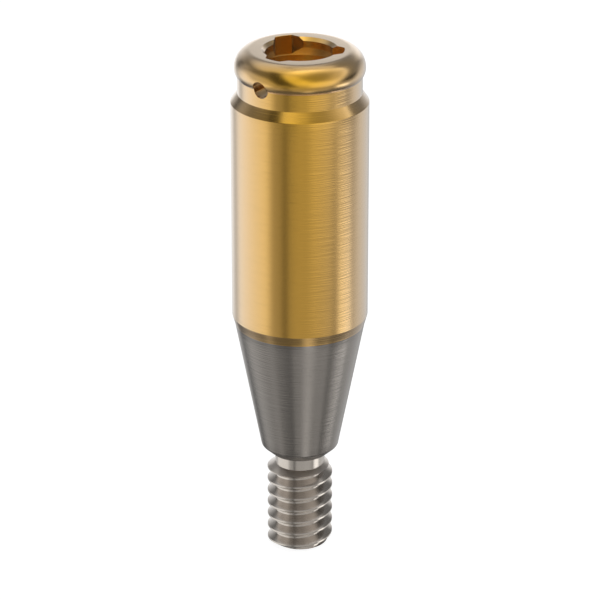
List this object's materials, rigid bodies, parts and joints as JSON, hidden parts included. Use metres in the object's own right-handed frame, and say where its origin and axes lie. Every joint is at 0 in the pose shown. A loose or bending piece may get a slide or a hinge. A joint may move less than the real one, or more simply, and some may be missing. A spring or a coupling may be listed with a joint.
{
  "type": "dental implant abutment",
  "caption": "Turned titanium abutment: threaded tip, slim taper, long coated shaft and a rounded retention head with a lobed driver socket.",
  "frame": {"origin": "centre of the screw tip's flat end", "axes": "+Z along the axis towards the head, -Y out through the vent hole"},
  "size_m": [0.0041, 0.004, 0.0161],
  "materials": {
    "coated_titanium": "satin gold-coloured hard coating on turned titanium"
  },
  "bodies": {
    "root": {"abutment": "coated_titanium"}
  },
  "joints": []
}
